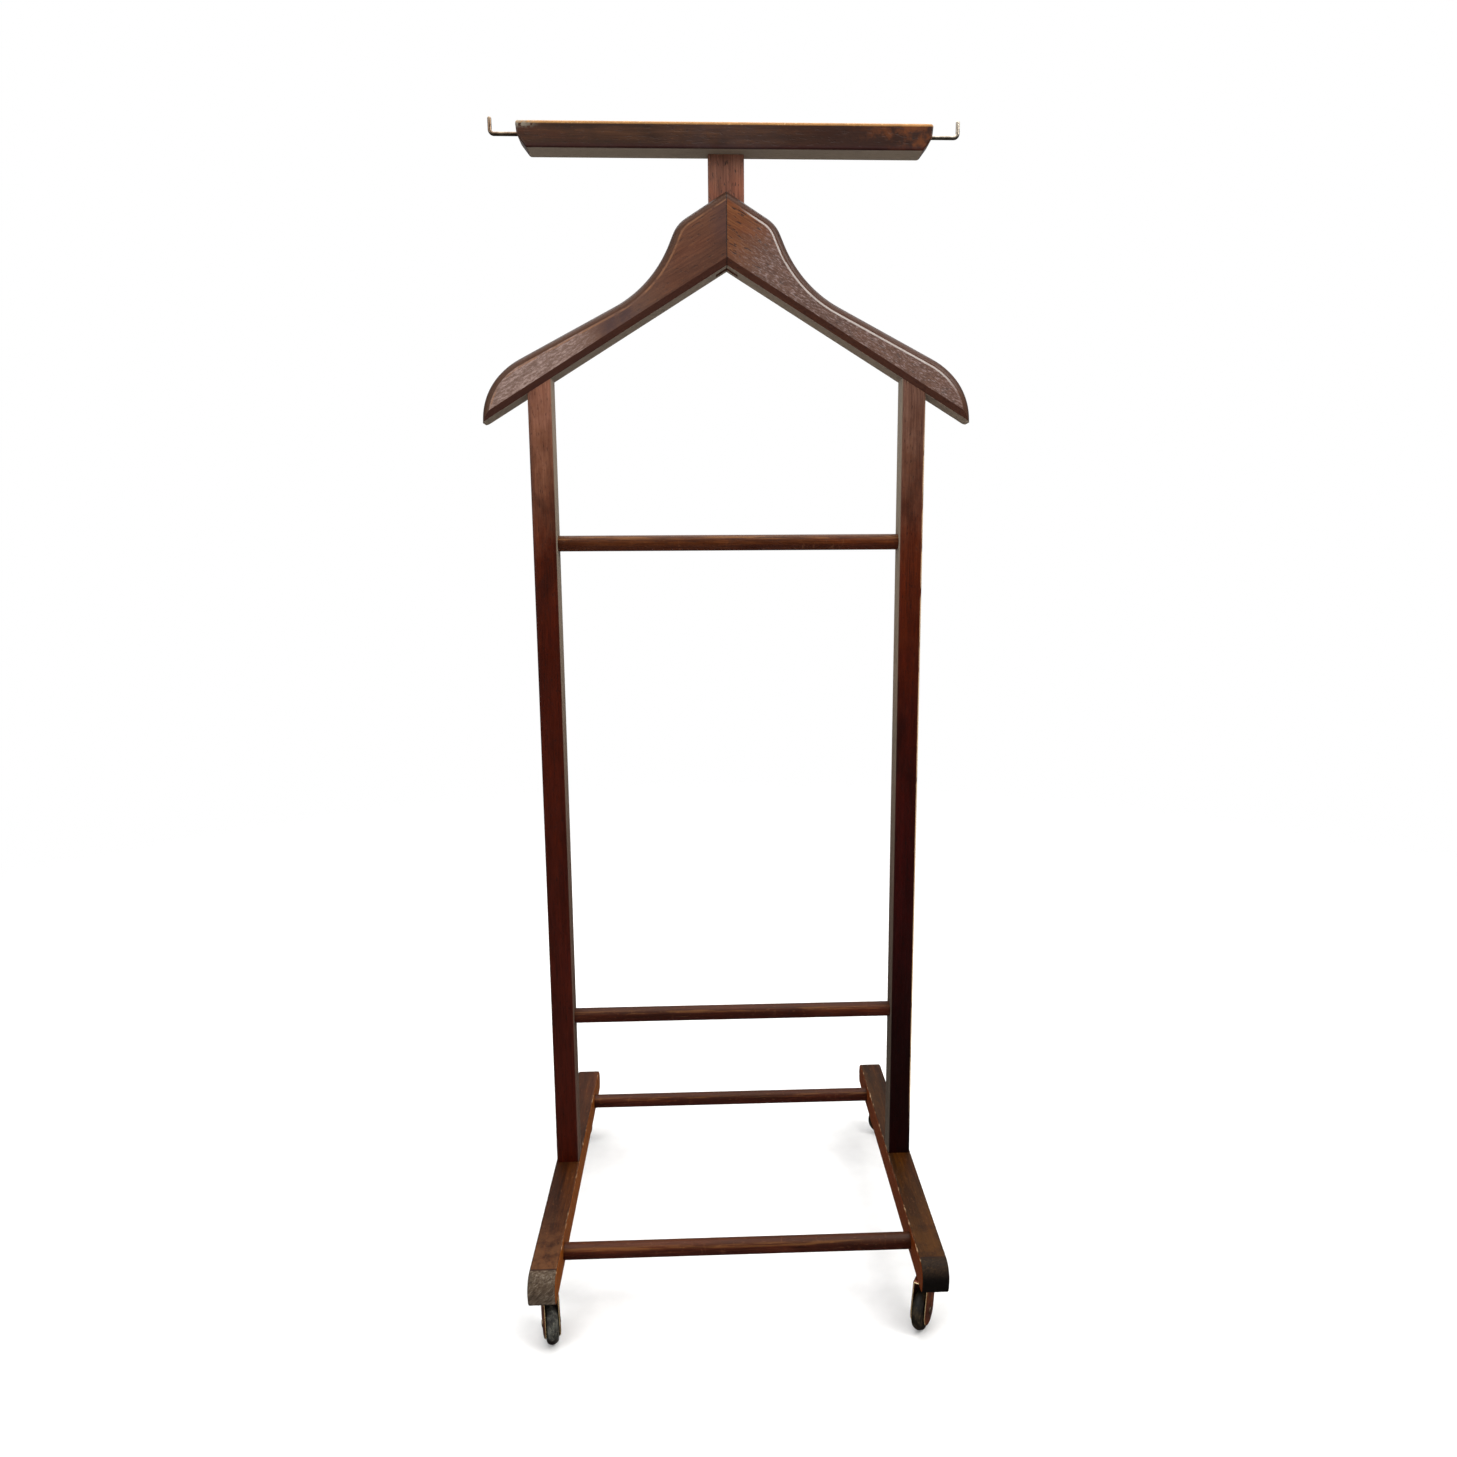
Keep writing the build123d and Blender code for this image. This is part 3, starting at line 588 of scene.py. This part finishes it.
for number, place in enumerate(CASTORS):
    dress(f"castor_socket_{place}", metal(f"socket_steel_{place}", STEEL, 40.0 + number, rough=0.34))
    dress(f"castor_stem_{place}", metal(f"stem_steel_{place}", STEEL, 50.0 + number, rough=0.3))
    dress(f"castor_fork_{place}", castor_fork(f"fork_bronze_{place}", 60.0 + number))
    dress(f"castor_axle_{place}", metal(f"axle_bronze_{place}", BRONZE_NICKEL, 70.0 + number))
    dress(f"castor_core_{place}", plastic(f"core_plastic_{place}", 80.0 + number))
    tyre = BROWN_RUBBER if place.endswith("right") else GREY_RUBBER
    dress(f"castor_tyre_{place}", rubber(f"tyre_rubber_{place}", 90.0 + number, *tyre))


# ---------------------------------------------------------- floor, light, camera

FLOOR_HALF = 30.0
FADE_FROM, FADE_TO = 0.7, 2.2  # how far from the stand the floor starts to fade, and where it has gone


def lay_floor():
    """A pale sheet that fades into the white behind it, so that no horizon shows."""
    mesh = bpy.data.meshes.new("floor")
    corners = [(x * FLOOR_HALF, y * FLOOR_HALF, 0) for x, y in ((-1, -1), (1, -1), (1, 1), (-1, 1))]
    mesh.from_pydata(corners, [], [(0, 1, 2, 3)])
    floor = bpy.data.objects.new("floor", mesh)
    bpy.context.collection.objects.link(floor)
    floor.visible_glossy = False

    paper = Finish("studio_paper")
    grain = paper.noise(paper.place, 40, 3)
    paper.colour = paper.ramp(grain, [(0.3, srgb(240, 240, 240)), (0.7, srgb(247, 247, 247))])
    paper.rough = paper.scaled(grain, 0.1, 0.8)
    paper.height = grain
    mesh.materials.append(paper.done(strength=0.02, Specular_IOR_Level=0.2))

    squares = (paper.times(along, along) for along in (paper.x, paper.y))
    away = paper.maths("SQRT", paper.maths("ADD", *squares))
    fade = paper.add("ShaderNodeMixShader", {0: paper.span(away, FADE_FROM, FADE_TO)})
    clear = paper.add("ShaderNodeBsdfTransparent")
    surface = next(n for n in paper.nodes if n.type == "OUTPUT_MATERIAL").inputs["Surface"]
    paper.feed(fade.inputs[1], paper.shader.outputs[0])
    paper.feed(fade.inputs[2], clear.outputs[0])
    paper.feed(surface, fade.outputs[0])


# The light from all round, by height: 0 is straight down, 0.5 level and 1 straight up
BELOW = (0.42, (0.05, 0.045, 0.04, 1))
LEVEL = (0.56, (0.26, 0.255, 0.25, 1))
ABOVE = (0.90, (0.85, 0.84, 0.82, 1))


def light_world():
    """A soft surround, dim below and bright above, that the camera itself sees as plain white."""
    world = bpy.data.worlds.new("studio")
    bpy.context.scene.world = world
    world.use_nodes = True
    nodes, link = world.node_tree.nodes, world.node_tree.links.new

    direction = nodes.new("ShaderNodeTexCoord")
    parts = nodes.new("ShaderNodeSeparateXYZ")
    height = nodes.new("ShaderNodeMapRange")
    gradient = nodes.new("ShaderNodeValToRGB")
    surround = nodes["Background"]
    link(direction.outputs["Generated"], parts.inputs[0])
    link(parts.outputs["Z"], height.inputs["Value"])
    height.inputs["From Min"].default_value = -1.0
    link(height.outputs["Result"], gradient.inputs[0])
    link(gradient.outputs[0], surround.inputs["Color"])
    bands = gradient.color_ramp.elements
    bands[0].position, bands[0].color = BELOW
    bands[1].position, bands[1].color = ABOVE
    bands.new(LEVEL[0]).color = LEVEL[1]

    seen = nodes.new("ShaderNodeBackground")
    seen.inputs["Color"].default_value = (1, 1, 1, 1)
    chooser = nodes.new("ShaderNodeMixShader")
    rays = nodes.new("ShaderNodeLightPath")
    link(rays.outputs["Is Camera Ray"], chooser.inputs[0])
    link(surround.outputs[0], chooser.inputs[1])
    link(seen.outputs[0], chooser.inputs[2])
    link(chooser.outputs[0], nodes["World Output"].inputs[0])


def softbox(name, at, toward, size, power, tint=(1, 1, 1)):
    """A rectangular lamp of that many watts, pointed at a place."""
    data = bpy.data.lights.new(name, "AREA")
    data.shape = "RECTANGLE"
    data.size, data.size_y = size
    data.energy = power
    data.color = tint
    box = bpy.data.objects.new(name, data)
    bpy.context.collection.objects.link(box)
    box.location = at
    box.rotation_euler = (Vector(toward) - Vector(at)).to_track_quat("-Z", "Y").to_euler()


EYE = (-0.0223, -0.9680, 0.7059)
YAW, PITCH, ROLL = 0.0365, 0.1569, 0.0063  # radians: to the right, downward, and clockwise
FOCAL_LENGTH, SENSOR_WIDTH = 24.24, 36.0  # millimetres
SHIFT_X, SHIFT_Y = -0.0103, -0.00956


def aim_camera():
    """A camera in front of the stand, about as high as its upper bar, looking a little down."""
    data = bpy.data.cameras.new("camera")
    camera = bpy.data.objects.new("camera", data)
    bpy.context.collection.objects.link(camera)
    bpy.context.scene.camera = camera
    data.lens, data.sensor_width = FOCAL_LENGTH, SENSOR_WIDTH
    data.shift_x, data.shift_y = SHIFT_X, SHIFT_Y
    level = math.cos(PITCH)
    ahead = Vector((math.sin(YAW) * level, math.cos(YAW) * level, -math.sin(PITCH)))
    across = Vector((math.cos(YAW), -math.sin(YAW), 0))
    down = ahead.cross(across)
    rolled_across = across * math.cos(ROLL) + down * math.sin(ROLL)
    rolled_down = down * math.cos(ROLL) - across * math.sin(ROLL)
    turn = Matrix((rolled_across, -rolled_down, -ahead)).transposed()
    camera.matrix_world = Matrix.Translation(EYE) @ turn.to_4x4()


lay_floor()
light_world()
HEART = (0, 0, 0.6)
HANGER = (0.05, 0, 0.85)
softbox("overhead", (0.0, 0.3, 2.9), HEART, (3.0, 3.0), 75)
softbox("key_right", (1.5, -0.9, 2.1), HANGER, (0.9, 0.9), 26, (1, 0.985, 0.96))
softbox("fill_left", (-1.7, -1.3, 1.5), HEART, (1.2, 1.6), 18, (0.97, 0.985, 1))
aim_camera()
bpy.context.scene.view_settings.view_transform = "Standard"
